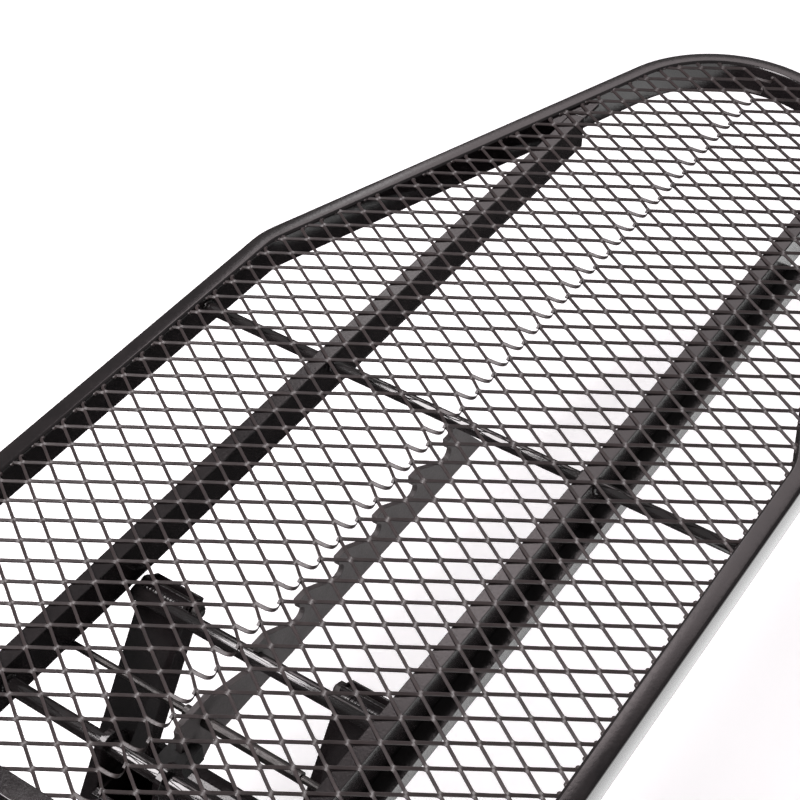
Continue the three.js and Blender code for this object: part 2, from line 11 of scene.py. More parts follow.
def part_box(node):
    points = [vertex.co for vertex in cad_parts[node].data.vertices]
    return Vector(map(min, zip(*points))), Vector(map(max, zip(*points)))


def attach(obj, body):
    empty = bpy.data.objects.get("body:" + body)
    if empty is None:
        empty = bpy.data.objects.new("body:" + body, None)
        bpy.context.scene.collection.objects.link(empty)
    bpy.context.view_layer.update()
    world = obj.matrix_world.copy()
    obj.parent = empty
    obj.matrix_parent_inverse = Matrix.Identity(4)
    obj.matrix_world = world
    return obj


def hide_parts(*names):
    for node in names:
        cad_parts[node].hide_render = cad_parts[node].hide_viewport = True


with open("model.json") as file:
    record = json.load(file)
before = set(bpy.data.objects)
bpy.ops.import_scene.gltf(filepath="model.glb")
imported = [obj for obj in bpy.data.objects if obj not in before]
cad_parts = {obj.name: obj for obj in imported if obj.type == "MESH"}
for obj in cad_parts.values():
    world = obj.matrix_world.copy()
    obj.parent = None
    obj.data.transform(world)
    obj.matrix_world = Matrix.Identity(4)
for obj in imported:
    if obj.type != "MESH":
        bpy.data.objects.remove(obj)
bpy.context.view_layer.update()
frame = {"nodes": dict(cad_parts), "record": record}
RANDOM = random.Random(7)

# ---- the deck's own measures ----
MM = 0.001
RAIL_LOW, RAIL_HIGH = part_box("side_rail_left")
BOW_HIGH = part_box("rear_bow_left")[1]
SHEET_LOW, SHEET_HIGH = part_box("mesh_sheet_left")
DECK_X = (RAIL_LOW.x + BOW_HIGH.x) / 2
DECK_Z = (SHEET_LOW.z + SHEET_HIGH.z) / 2
DECK = Vector((DECK_X, 0, DECK_Z))
HALF_LENGTH = (BOW_HIGH.x - RAIL_LOW.x) / 2
HALF_WIDTH = RAIL_HIGH.y
RAIL_WIDTH = RAIL_HIGH.y - RAIL_LOW.y
RAIL_HEIGHT = RAIL_HIGH.z - RAIL_LOW.z
# No box shows these four, so they repeat the CAD's values.
RAIL_WALL = 1.65 * MM
NOSE_RADIUS = 141.9 * MM
TAPER = math.radians(19.47)
BEND_RADIUS = 76.2 * MM
# The rounding of the tube's edges, outside and inside.
RAIL_CORNER = 3.2 * MM
BORE_CORNER = 1.6 * MM


# ---- mesh helpers ----
def make_mesh(name, verts, faces, material, sharp_angle=40):
    """A mesh object whose edges sharper than sharp_angle degrees stay crisp."""
    mesh = bpy.data.meshes.new(name)
    mesh.from_pydata([tuple(v) for v in verts], [], faces)
    mesh.validate()
    mesh.shade_smooth()
    mesh.set_sharp_from_angle(angle=math.radians(sharp_angle))
    obj = bpy.data.objects.new(name, mesh)
    bpy.context.scene.collection.objects.link(obj)
    obj.data.materials.append(material)
    return obj


class Build:
    """Gathers vertices and faces of several closed forms into one mesh."""

    def __init__(self):
        self.verts = []
        self.faces = []

    def loft(self, rings, closed=False, caps=True):
        """Joins rings of equal length into a skin. A closed loft joins the last ring to the first."""
        base = len(self.verts)
        count = len(rings[0])
        for ring in rings:
            self.verts.extend(ring)
        spans = len(rings) if closed else len(rings) - 1
        for i in range(spans):
            a = base + i * count
            b = base + ((i + 1) % len(rings)) * count
            for j in range(count):
                k = (j + 1) % count
                self.faces.append((a + j, a + k, b + k, b + j))
        if caps and not closed:
            last = base + (len(rings) - 1) * count
            self.faces.append(tuple(range(base + count - 1, base - 1, -1)))
            self.faces.append(tuple(range(last, last + count)))

    def object(self, name, material, sharp_angle=40):
        return make_mesh(name, self.verts, self.faces, material, sharp_angle)


def rounded_section(width, height, radius, steps=4):
    """Points of a rounded rectangle, counter-clockwise, centred on the origin."""
    points = []
    corners = ((1, 1, 0), (-1, 1, 90), (-1, -1, 180), (1, -1, 270))
    for sx, sy, start in corners:
        cx = sx * (width / 2 - radius)
        cy = sy * (height / 2 - radius)
        for i in range(steps + 1):
            angle = math.radians(start + 90 * i / steps)
            points.append((cx + radius * math.cos(angle), cy + radius * math.sin(angle)))
    return points


# ---- the perimeter tube: one tube bent all the way round ----
SIDE_Y = HALF_WIDTH - RAIL_WIDTH / 2
NOSE_X = HALF_LENGTH - NOSE_RADIUS
NOSE_R = NOSE_RADIUS - RAIL_WIDTH / 2
TAPER_END = (NOSE_X + NOSE_R * math.sin(TAPER), NOSE_R * math.cos(TAPER))
CORNER_X = TAPER_END[0] - (SIDE_Y - TAPER_END[1]) / math.tan(TAPER)
BEND_X = CORNER_X - BEND_RADIUS * math.tan(TAPER / 2)


def arc(cx, cy, radius, start, end, count):
    """Stations (x, y, angle of the outward normal) on an arc, in deck coordinates."""
    stations = []
    for i in range(count + 1):
        angle = start + (end - start) * i / count
        stations.append((cx + radius * math.sin(angle), cy + radius * math.cos(angle), angle))
    return stations


def half_line():
    """The left half of the tube's centre line, from its front end to the nose."""
    line = [(-HALF_LENGTH, SIDE_Y, 0.0)]
    line += arc(BEND_X, SIDE_Y - BEND_RADIUS, BEND_RADIUS, 0.0, TAPER, 8)
    line += arc(NOSE_X, 0.0, NOSE_R, TAPER, math.pi / 2, 30)
    return line


def centre_line():
    """The whole centre line, round the nose and back to the front on the right."""
    left = half_line()
    right = [(x, -y, math.pi - angle) for x, y, angle in reversed(left[:-1])]
    return left + right


def perimeter_tube(material):
    """One hollow tube along the centre line, in place of the CAD's six lengths."""
    z_mid = (RAIL_HIGH.z + RAIL_LOW.z) / 2
    outer = rounded_section(RAIL_WIDTH, RAIL_HEIGHT, RAIL_CORNER, 5)
    inner = rounded_section(RAIL_WIDTH - 2 * RAIL_WALL, RAIL_HEIGHT - 2 * RAIL_WALL, BORE_CORNER, 5)

    def ring(section, x, y, angle):
        out = Vector((math.sin(angle), math.cos(angle), 0))
        centre = Vector((DECK.x + x, DECK.y + y, z_mid))
        return [centre + out * u + Vector((0, 0, v)) for u, v in section]

    stations = centre_line()
    build = Build()
    skin = [ring(outer, *s) for s in stations]
    bore = [ring(inner, *s) for s in reversed(stations)]
    build.loft(skin + bore, closed=True)
    return build.object("perimeter_tube", material)


# ---- expanded metal ----
PITCH_X = 13.674 * MM  # half of a diamond's short way, along the deck
PITCH_Y = 20.76 * MM  # half of its long way, across the deck
LEFT_NODE = (-128.0 * MM, 30.45 * MM)  # a bond of the left sheet, from the deck's centre
RIGHT_NODE = (-127.6 * MM, -5.8 * MM)  # a bond in the right sheet's first row
SEAM_ROW = 1  # rows of bonds from LEFT_NODE to the left sheet's last one
STRAND_WIDTH = 3.4 * MM
STRAND_THICK = 2.0 * MM
STRAND_TILT = math.radians(30)
STRAND_CHAMFER = 0.45 * MM
STRAND_DROP = -0.8 * MM  # keeps the raised bonds inside the CAD box
STRAND_JITTER = 0.06 * MM
RAIL_OVERLAP = 3.4 * MM  # how far a strand runs past the tube's inner face
SEAM_LIFT = 0.5 * MM  # the left sheet's ends lie this much above the right sheet's bonds
SEAM_START = 2.6 * MM  # the right sheet's strands start this far to the left of their first bond
LEAST_HALF_ROOM = 24 * MM  # no strand lies where half_room is less
BOND_JOG = (0.9 * MM, 0.5 * MM)  # a strand's shift away from the bond that it shares, in x and z
# Shares of the way across and along the deck, from one bond to the next.
STRAND_SHAPE = ((0.0, 0.0), (0.06, 0.01), (0.15, 0.1), (0.5, 0.5), (0.85, 0.9), (0.94, 0.99))


def half_room(x):
    """Half the clear width between the tube's inner faces, at x from the deck's centre."""
    inset = RAIL_WIDTH / 2
    if x <= BEND_X:
        return SIDE_Y - inset
    taper_x = TAPER_END[0] - inset * math.sin(TAPER)
    if x <= taper_x:
        line = TAPER_END[1] + (TAPER_END[0] - x) * math.tan(TAPER) - inset / math.cos(TAPER)
        return min(SIDE_Y - inset, line)
    room = (NOSE_R - inset) ** 2 - (x - NOSE_X) ** 2
    return math.sqrt(room) if room > 0 else 0.0


def strand_section():
    """A chamfered flat bar, tilted in the plane across the strand."""
    w, t, c = STRAND_WIDTH / 2, STRAND_THICK / 2, STRAND_CHAMFER
    bar = [
        (w, t - c), (w - c, t), (c - w, t), (-w, t - c),
        (-w, c - t), (c - w, -t), (w - c, -t), (w, c - t),
    ]
    cos, sin = math.cos(STRAND_TILT), math.sin(STRAND_TILT)
    return [(u * cos - v * sin, u * sin + v * cos) for u, v in bar]


def bond_offset(side):
    """How far a strand's middle lies from the bond that it shares, in x and z."""
    return -side * BOND_JOG[0], -side * BOND_JOG[1]


def bond_point(column, node_x, row, y):
    """The middle of strand `column` at bond row `row`: (x, y, z) from the deck's centre."""
    right = (column - row) % 2
    dx, dz = bond_offset(1 if right else -1)
    return Vector((node_x + PITCH_X * (column + right) + dx, y, dz + STRAND_DROP))


def bezier(a, b, c, d, u):
    """The point at share u of a cubic curve from a to d."""
    v = 1 - u
    return a * v**3 + b * 3 * v * v * u + c * 3 * v * u * u + d * u**3


def strand_between(start, end):
    """Points from one bond towards the next, without the last."""
    points = []
    for u, s in STRAND_SHAPE:
        points.append(Vector((
            start.x + (end.x - start.x) * s,
            start.y + (end.y - start.y) * u,
            start.z + (end.z - start.z) * s,
        )))
    return points


def seam_loop(start, end):
    """The open loop with which the left sheet ends: across the deck first, then along it."""
    drop = end.y - start.y
    first_handle = start + Vector((-0.5 * MM, 1.12 * drop, 0.2 * MM))
    last_handle = Vector((start.x + 2.4 * MM, end.y + 0.26 * drop, end.z + 0.5 * MM))
    return [bezier(start, first_handle, last_handle, end, i / 9) for i in range(10)]


def clip_line(points, limit):
    """Ends a line of falling or rising y where it first passes |y| = limit."""
    kept = []
    for a, b in zip(points, points[1:]):
        kept.append(a)
        if abs(b.y) >= limit(b.x) and abs(b.y) > abs(a.y):
            edge = limit(b.x)
            share = (edge - abs(a.y)) / (abs(b.y) - abs(a.y))
            kept.append(a.lerp(b, max(share, 0.02)))
            return kept
    kept.append(points[-1])
    return kept


def strand_line(column, side):
    """One zigzag strand of a sheet, from the middle of the deck out to the rail."""
    node_x, node_y = LEFT_NODE if side > 0 else RIGHT_NODE
    step = side * PITCH_Y
    rows = int(HALF_WIDTH / PITCH_Y) + 2
    parity = SEAM_ROW if side > 0 else 0
    first_y = node_y - SEAM_ROW * PITCH_Y if side > 0 else node_y
    bonds = []
    for n in range(rows):
        row = parity - n if side > 0 else parity + n
        bonds.append(bond_point(column, node_x, row, first_y + n * step))
    points = []
    if side > 0:
        seam = bond_point(column, RIGHT_NODE[0], SEAM_ROW + 1, RIGHT_NODE[1])
        seam.z += SEAM_LIFT
        if (column - SEAM_ROW) % 2 == 0:
            points += list(reversed(seam_loop(bonds[0], seam)))[:-1]
        else:
            points += strand_between(seam, bonds[0])
    else:
        points.append(bonds[0] + Vector((0, SEAM_START, 0)))
    for a, b in zip(bonds, bonds[1:]):
        points += strand_between(a, b)
    points.append(bonds[-1])
    return clip_line(points, lambda x: half_room(x) + RAIL_OVERLAP)


def sheet(side, name, material):
    """All strands of one sheet of expanded metal, and the places where they meet the rail."""
    build = Build()
    section = strand_section()
    first = math.ceil((-HALF_LENGTH + RAIL_WIDTH - 3 * MM - LEFT_NODE[0]) / PITCH_X)
    last = int((HALF_LENGTH - RAIL_WIDTH - LEFT_NODE[0]) / PITCH_X)
    ends = []
    for column in range(first, last):
        middle = LEFT_NODE[0] + PITCH_X * (column + 0.5)
        if half_room(middle) < LEAST_HALF_ROOM:
            continue
        points = strand_line(column, side)
        rings = []
        for p in points:
            jitter = Vector((RANDOM.uniform(-1, 1), 0, RANDOM.uniform(-1, 1))) * STRAND_JITTER
            place = DECK + p + jitter
            rings.append([place + Vector((u, 0, v)) for u, v in section])
        build.loft(rings if side < 0 else list(reversed(rings)))
        ends.append(points[-1])
    return build.object(name, material, 35), ends


# ---- welds ----
BEAD_SPACING = 1.1 * MM
BEAD_WANDER = 0.12 * MM
BEAD_RIPPLE = 0.13
BEAD_SIDES = 8
AXLE_BEAD = 7.6 * MM
ARM_HALF_THICK = 9.525 * MM  # as in the CAD, because a leaning arm's box doesn't show it
SPOT_INSET = 2.6 * MM


def weld_bead(build, path, radius=2.2 * MM, closed=False):
    """A rippled bead laid along a path of points."""
    points = []
    for a, b in zip(path, path[1:] + (path[:1] if closed else [])):
        steps = max(1, round((b - a).length / BEAD_SPACING))
        points += [a.lerp(b, i / steps) for i in range(steps)]
    if not closed:
        points.append(path[-1])
    rings = []
    for i, p in enumerate(points):
        before = points[i - 1] if i or closed else p
        after = points[(i + 1) % len(points)] if i + 1 < len(points) or closed else p
        along = (after - before).normalized()
        side = along.orthogonal().normalized()
        up = along.cross(side)
        swell = 1 + BEAD_RIPPLE * math.cos(i * 2 * math.pi / 3) + RANDOM.uniform(-0.05, 0.05)
        if not closed and i in (0, len(points) - 1):
            swell *= 0.45
        wander = Vector([RANDOM.uniform(-1, 1) for _ in range(3)]) * BEAD_WANDER
        rings.append([
            p + wander + (side * math.cos(t) + up * math.sin(t)) * radius * swell
            for t in (2 * math.pi * k / BEAD_SIDES for k in range(BEAD_SIDES))
        ])
    build.loft(rings, closed=closed)


def circle_y(x, y, z, radius, count=18):
    """Points of a circle round an axis along Y."""
    return [
        Vector((x + radius * math.cos(t), y, z + radius * math.sin(t)))
        for t in (2 * math.pi * k / count for k in range(count))
    ]


def deck_welds(material):
    """Beads round the rods, at the ends of the tubes and along the corner plates and rack."""
    build = Build()
    rod_low, rod_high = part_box("cross_rod")
    rod = (rod_low + rod_high) / 2
    rod_radius = (rod_high.z - rod_low.z) / 2
    axle_low, axle_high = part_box("hinge_axle")
    axle = (axle_low + axle_high) / 2
    tube_low, tube_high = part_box("inner_tube_left")
    front_low, front_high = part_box("front_tube")
    for side in (1, -1):
        for y, inward in ((rod_high.y, -1), (tube_low.y, -1), (tube_high.y, 1)):
            place = circle_y(rod.x, side * (y + inward * 0.6 * MM), rod.z, rod_radius + 0.5 * MM)
            weld_bead(build, place, 2.0 * MM, closed=True)
        place = circle_y(axle.x, side * (tube_low.y - 0.8 * MM), axle.z, AXLE_BEAD)
        weld_bead(build, place, 2.2 * MM, closed=True)
        for y in (tube_low.y, tube_high.y):
            top = Vector((tube_low.x, side * y, tube_high.z - 1 * MM))
            foot = Vector((tube_low.x, side * y, tube_low.z + 1 * MM))
            weld_bead(build, [top, foot])
        corner_y = side * (HALF_WIDTH - RAIL_WIDTH)
        weld_bead(build, [
            Vector((front_high.x, corner_y, front_high.z - 3 * MM)),
            Vector((front_high.x, corner_y, front_low.z + 2 * MM)),
        ])
        weld_bead(build, [
            Vector((front_low.x + 1 * MM, corner_y, front_low.z + 0.4 * MM)),
            Vector((front_high.x, corner_y, front_low.z + 0.4 * MM)),
        ])
        plate_low, plate_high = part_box(f"corner_plate_{'left' if side > 0 else 'right'}")
        far = max(abs(plate_low.y), abs(plate_high.y))
        near = min(abs(plate_low.y), abs(plate_high.y))
        run = plate_high.x - plate_low.x
        weld_bead(build, [
            Vector((plate_low.x, side * far, plate_low.z)),
            Vector((plate_high.x, side * (far - run * math.tan(TAPER)), plate_low.z)),
        ], 2.4 * MM)
        weld_bead(build, [
            Vector((tube_high.x + 0.2 * MM, side * (near + 1 * MM), plate_low.z)),
            Vector((tube_high.x + 0.2 * MM, side * tube_high.y, plate_low.z)),
            Vector((plate_low.x, side * tube_high.y, plate_low.z)),
        ], 2.0 * MM)
    rack_low, rack_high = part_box("toothed_rack")
    for side in (1, -1):
        half = (rack_high.y - rack_low.y) / 2
        z = rod.z - rod_radius
        weld_bead(build, [
            Vector((rod.x - 3.5 * MM, side * half, z)), Vector((rod.x + 4.5 * MM, side * half, z)),
        ], 1.8 * MM)
    return build.object("deck_welds", material, 60)


def prop_welds(material):
    """Beads between the bar and the arms, along both sides of the bar."""
    build = Build()
    low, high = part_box("prop_bar")
    bar = (low + high) / 2
    radius = (high.z - low.z) / 2
    arm_low, arm_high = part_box("prop_arm_left")
    inner, outer = arm_low.y + 2 * MM, arm_high.y - 2 * MM
    pivot_low, pivot_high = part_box("prop_pivot_sleeve")
    pivot = (pivot_low + pivot_high) / 2
    reach = math.hypot(bar.x - pivot.x, bar.z - pivot.z)
    rise = ARM_HALF_THICK + radius
    lean = math.atan2(bar.z - pivot.z, bar.x - pivot.x) - math.asin(rise / reach)
    along = Vector((math.cos(lean), 0, math.sin(lean)))
    out = Vector((-math.sin(lean), 0, math.cos(lean)))
    for side in (1, -1):
        for way in (1, -1):
            centre = Vector((bar.x, 0, bar.z)) + along * way * radius * 0.8 - out * radius * 0.82
            weld_bead(build, [
                centre + Vector((0, side * inner, 0)), centre + Vector((0, side * outer, 0)),
            ], 2.0 * MM)
    return build.object("prop_welds", material, 60)


def hitch_welds(material):
    """Beads round the mast's foot and along its gusset, pivot sleeve and ears."""
    build = Build()
    low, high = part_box("mast")
    foot = low.z
    corners = [
        Vector((low.x, low.y, foot)), Vector((high.x, low.y, foot)),
        Vector((high.x, high.y, foot)), Vector((low.x, high.y, foot)),
    ]
    weld_bead(build, corners, 2.8 * MM, closed=True)
    sheet_low, sheet_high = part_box("mast_gusset")
    for y in (sheet_low.y, sheet_high.y):
        weld_bead(build, [
            Vector((sheet_low.x + 3 * MM, y, sheet_low.z)), Vector((sheet_high.x, y, sheet_low.z)),
            Vector((sheet_high.x, y, sheet_high.z - 3 * MM)),
        ], 2.4 * MM)
    pivot_low, pivot_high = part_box("prop_pivot_sleeve")
    pivot = (pivot_low + pivot_high) / 2
    radius = (pivot_high.z - pivot_low.z) / 2
    for side in (1, -1):
        y = side * (high.y + 0.5 * MM)
        arc_points = [
            Vector((pivot.x + radius * math.cos(t), y, pivot.z + radius * math.sin(t)))
            for t in (math.radians(a) for a in range(-50, 231, 14))
        ]
        weld_bead(build, arc_points, 2.4 * MM)
        ear_low, ear_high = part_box(f"mast_ear_{'left' if side > 0 else 'right'}")
        for x in (ear_low.x, ear_high.x):
            weld_bead(build, [
                Vector((x, side * high.y, ear_low.z + 2 * MM)),
                Vector((x, side * high.y, high.z - 8 * MM)),
            ], 2.2 * MM)
    return build.object("hitch_welds", material, 60)


def spot_welds(name, ends, material):
    """A small flattened blob where each strand meets the rail."""
    build = Build()
    for p in ends:
        centre = DECK + Vector((p.x, p.y - math.copysign(SPOT_INSET, p.y), p.z - 0.2 * MM))
        size = RANDOM.uniform(2.1, 2.9) * MM
        rings = []
        for i in range(1, 5):
            a = math.pi * i / 5
            rings.append([
                centre + Vector((
                    size * math.sin(a) * math.cos(t),
                    size * 1.2 * math.sin(a) * math.sin(t),
                    0.62 * size * math.cos(a),
                )) for t in (-2 * math.pi * k / 9 for k in range(9))
            ])
        build.loft(rings)
    return build.object(name, material, 60)


# ---- rods ----
ROD_EASE = 0.8 * MM
ROD_SIDES = 64


def round_rod(name, node, body, material):
    """A smooth round rod along Y with eased ends in place of the CAD's faceted one."""
    low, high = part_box(node)
    place = (low + high) / 2
    radius = (high.z - low.z) / 2
    rings = []
    for y, r in (
        (low.y, radius - ROD_EASE),
        (low.y + 0.3 * ROD_EASE, radius - 0.3 * ROD_EASE),
        (low.y + ROD_EASE, radius),
        (high.y - ROD_EASE, radius),
        (high.y - 0.3 * ROD_EASE, radius - 0.3 * ROD_EASE),
        (high.y, radius - ROD_EASE),
    ):
        rings.append([
            Vector((place.x + r * math.cos(t), y, place.z - r * math.sin(t)))
            for t in (2 * math.pi * k / ROD_SIDES for k in range(ROD_SIDES))
        ])
    build = Build()
    build.loft(rings)
    piece = build.object(name, material, 40)
    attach(piece, body)
    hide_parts(node)


# ---- bolts and nuts along Y ----
THREAD_PITCH = 1.25 * MM
THREAD_DEPTH = 0.55 * MM
THREAD_LENGTH = 14 * MM
HEX_POINTS = 48
SHANK_SIDES = 20
SMALL_HEX = {"apothem": 6.5 * MM, "head": 5.3 * MM, "shank": 4.0 * MM, "bore": 4.1 * MM}
PIVOT_HEX = {"apothem": 10.5 * MM, "head": 8.8 * MM, "shank": 7.0 * MM, "bore": 7.1 * MM}


def hex_radius(angle, apothem):
    """Distance from a hexagon's middle to its outline at an angle."""
    return apothem / math.cos((angle + math.pi / 6) % (math.pi / 3) - math.pi / 6)


def hex_rings(place, way, apothem, profile, turn):
    """Rings of a hexagon trimmed by a turned profile of (distance, radius) along Y."""
    rings = []
    for distance, limit in profile:
        ring = []
        for k in range(HEX_POINTS):
            t = -way * 2 * math.pi * k / HEX_POINTS
            r = min(hex_radius(t, apothem), limit)
            ring.append(place + Vector((r * math.cos(t + turn), way * distance, r * math.sin(t + turn))))
        rings.append(ring)
    return rings


def thread_rings(place, way, radius, start, end):
    """Rings of a threaded end, from start to end along Y, with a small chamfer."""
    rings = []
    steps = max(6, round(abs(end - start) / THREAD_PITCH * 6))
    for i in range(steps + 1):
        distance = start + (end - start) * i / steps
        taper = 0.82 if i == steps else 1.0
        ring = []
        for k in range(SHANK_SIDES):
            t = -way * 2 * math.pi * k / SHANK_SIDES
            phase = (distance / THREAD_PITCH + t / (2 * math.pi)) % 1
            r = (radius - THREAD_DEPTH * abs(2 * phase - 1)) * taper
            ring.append(place + Vector((r * math.cos(t), way * distance, r * math.sin(t))))
        rings.append(ring)
    return rings


def bolt_y(name, node, body, head_side, size, material):
    """A hexagon bolt: washer face, trimmed head, plain shank and threaded end."""
    apothem, head, radius = size["apothem"], size["head"], size["shank"]
    low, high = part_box(node)
    place = (low + high) / 2
    place.y = (high.y - head) if head_side > 0 else (low.y + head)
    length = high.y - low.y - head
    build = Build()
    wide = apothem * 1.16
    profile = [
        (0.0, apothem * 0.94), (0.4 * MM, apothem * 0.94), (0.45 * MM, wide),
        (head - 1.1 * MM, wide), (head - 0.5 * MM, apothem * 1.05), (head, apothem * 0.9),
    ]
    build.loft(hex_rings(place, head_side, apothem, profile, RANDOM.uniform(0, 1)))
    rings = [[
        place + Vector((radius * math.cos(t), -head_side * d, radius * math.sin(t)))
        for t in (head_side * 2 * math.pi * k / SHANK_SIDES for k in range(SHANK_SIDES))
    ] for d in (-0.2 * MM, length - THREAD_LENGTH)]
    thread_start = length - THREAD_LENGTH + 0.2 * MM
    rings += thread_rings(place, -head_side, radius - 0.05 * MM, thread_start, length)
    build.loft(rings)
    piece = build.object(name, material, 32)
    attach(piece, body)
    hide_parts(node)


def nut_y(name, node, body, way, size, material):
    """A hexagon nut with both faces trimmed and a countersunk bore."""
    apothem, bore = size["apothem"], size["bore"]
    low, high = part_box(node)
    place = (low + high) / 2
    height = high.y - low.y
    place.y = low.y if way > 0 else high.y
    wide = apothem * 1.16
    outside = [
        (0.0, apothem * 0.93), (0.7 * MM, wide),
        (height - 0.7 * MM, wide), (height, apothem * 0.93),
    ]
    inside = [
        (height, bore + 0.7 * MM), (height - 0.8 * MM, bore),
        (0.8 * MM, bore), (0.0, bore + 0.7 * MM),
    ]
    build = Build()
    build.loft(hex_rings(place, way, apothem, outside + inside, RANDOM.uniform(0, 1)), closed=True)
    piece = build.object(name, material, 32)
    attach(piece, body)
    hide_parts(node)


# ---- materials ----
def new_material(name):
    """A material with its nodes, links and shader."""
    material = bpy.data.materials.new(name)
    material.use_nodes = True
    nodes = material.node_tree.nodes
    links = material.node_tree.links
    shader = nodes["Principled BSDF"]
    return material, nodes, links, shader


def coordinates(nodes, links, scale):
    """The object's own coordinates, scaled."""
    place = nodes.new("ShaderNodeTexCoord")
    mapping = nodes.new("ShaderNodeMapping")
    mapping.inputs["Scale"].default_value = scale
    links.new(place.outputs["Object"], mapping.inputs["Vector"])
    return mapping.outputs["Vector"]


def noise(nodes, links, vector, scale, detail=4.0, roughness=0.55):
    texture = nodes.new("ShaderNodeTexNoise")
    texture.inputs["Scale"].default_value = scale
    texture.inputs["Detail"].default_value = detail
    texture.inputs["Roughness"].default_value = roughness
    links.new(vector, texture.inputs["Vector"])
    return texture.outputs["Fac"]


def ramp(nodes, links, factor, stops):
    node = nodes.new("ShaderNodeValToRGB")
    elements = node.color_ramp.elements
    while len(elements) < len(stops):
        elements.new(0.5)
    for element, (position, color) in zip(elements, stops):
        element.position = position
        element.color = (*color, 1)
    links.new(factor, node.inputs["Fac"])
    return node.outputs["Color"]


def spread(nodes, links, factor, low, high):
    """Maps a noise's middle range, 0.3 to 0.7, to low to high."""
    node = nodes.new("ShaderNodeMapRange")
    node.inputs["From Min"].default_value = 0.3
    node.inputs["From Max"].default_value = 0.7
    node.inputs["To Min"].default_value = low
    node.inputs["To Max"].default_value = high
    links.new(factor, node.inputs["Value"])
    return node.outputs["Result"]


def bump(nodes, links, height, strength, distance, below=None):
    node = nodes.new("ShaderNodeBump")
    node.inputs["Strength"].default_value = strength
    node.inputs["Distance"].default_value = distance
    links.new(height, node.inputs["Height"])
    if below is not None:
        links.new(below, node.inputs["Normal"])
    return node.outputs["Normal"]


def painted(name, dark, light, gloss, peel=0.25, metallic=0.0, specular=0.5):
    """A coat with uneven tone and gloss, orange peel and a fine grain."""
    material, nodes, links, shader = new_material(name)
    place = coordinates(nodes, links, (1, 1, 1))
    tone = noise(nodes, links, place, 38, 6, 0.62)
    fine = noise(nodes, links, place, 420, 3, 0.6)
    grain = noise(nodes, links, place, 2400, 2, 0.5)
    color = ramp(nodes, links, tone, [(0.32, dark), (0.72, light)])
    links.new(color, shader.inputs["Base Color"])
    links.new(spread(nodes, links, fine, *gloss), shader.inputs["Roughness"])
    shader.inputs["Metallic"].default_value = metallic
    shader.inputs["Specular IOR Level"].default_value = specular
    normal = bump(nodes, links, fine, peel, 0.4 * MM)
    normal = bump(nodes, links, grain, peel * 0.5, 0.08 * MM, normal)
    links.new(normal, shader.inputs["Normal"])
    return material


def zinc_plate():
    """Bright plating with cloudy gloss and faint lines along Y."""
    material, nodes, links, shader = new_material("zinc_plate")
    place = coordinates(nodes, links, (1, 1, 1))
    cloud = noise(nodes, links, place, 70, 5)
    lines = noise(nodes, links, coordinates(nodes, links, (400, 40, 400)), 6, 3)
    color = ramp(nodes, links, cloud, [(0.3, (0.42, 0.43, 0.45)), (0.7, (0.62, 0.63, 0.64))])
    links.new(color, shader.inputs["Base Color"])
    links.new(spread(nodes, links, cloud, 0.22, 0.42), shader.inputs["Roughness"])
    shader.inputs["Metallic"].default_value = 1.0
    links.new(bump(nodes, links, lines, 0.15, 0.05 * MM), shader.inputs["Normal"])
    return material


ENAMEL = painted("black_enamel", (0.007, 0.0055, 0.006), (0.015, 0.012, 0.0125), (0.11, 0.2), peel=0.18)
STRAND = painted("strand_enamel", (0.020, 0.0145, 0.0145), (0.036, 0.026, 0.026), (0.32, 0.48))
RACK_PAINT = painted("rack_satin", (0.043, 0.037, 0.0375), (0.066, 0.057, 0.058), (0.5, 0.66), peel=0.3)
OXIDE = painted(
    "black_oxide", (0.014, 0.013, 0.013), (0.040, 0.036, 0.034), (0.24, 0.42), peel=0.1, metallic=0.5,
)
ROD_PAINT = painted(
    "rod_enamel", (0.010, 0.009, 0.009), (0.018, 0.015, 0.0155), (0.10, 0.17), peel=0.05, specular=0.8,
)
RUBBER = painted(
    "rubber", (0.008, 0.008, 0.008), (0.016, 0.016, 0.016), (0.6, 0.8), peel=0.5, specular=0.3,
)
PLASTIC = painted("cap_plastic", (0.012, 0.012, 0.012), (0.020, 0.020, 0.020), (0.42, 0.56), peel=0.4)
ZINC = zinc_plate()

NODE_MATERIALS = {
    "black_enamel": ENAMEL,
    "rack_satin": RACK_PAINT,
    "black_fastener": OXIDE,
    "zinc_steel": ZINC,
    "rubber": RUBBER,
    "cap_plastic": PLASTIC,
}


def dress_nodes():
    """Gives every CAD node its material and small rounded edges."""
    slots = {part["node"]: part["material_slot"] for part in frame["record"]["subparts"]}
    for name, obj in frame["nodes"].items():
        material = NODE_MATERIALS[slots[name]]
        if not obj.material_slots:
            obj.data.materials.append(material)
        for place in obj.material_slots:
            place.material = material
        weld = obj.modifiers.new("weld", "WELD")
        weld.merge_threshold = 0.01 * MM
        bevel = obj.modifiers.new("bevel", "BEVEL")
        bevel.width = 0.8 * MM
        bevel.segments = 2
        bevel.limit_method = "ANGLE"
        bevel.angle_limit = math.radians(50)


# ---- stage ----
CAMERA_OFFSET = Vector((-1.0386, -0.5976, 1.0790))  # from the deck's middle
CAMERA_ANGLES = (43.36, 34.38, -0.39)  # pitch, heading and roll, as look_rotation takes them
CAMERA_LENS = 77.5
FLOOR_GLOW = 0.42
SOFTBOX_DISTANCE = 6.0
SOFTBOX_TINT = (1.0, 0.88, 0.9)
STRIP_DISTANCE = 2.4
STRIP_TINT = (1.0, 0.95, 0.965)
CARD_PLACE = Vector((DECK.x + 0.3, -0.93, 0.004))


def look_rotation(pitch, heading, roll):
    """A camera's turn from its pitch below the horizon, heading from +X and roll, in degrees."""
    base = Euler((math.radians(90 - pitch), 0, math.radians(heading - 90))).to_matrix()
    return (base @ Matrix.Rotation(math.radians(roll), 3, "Z")).to_euler()


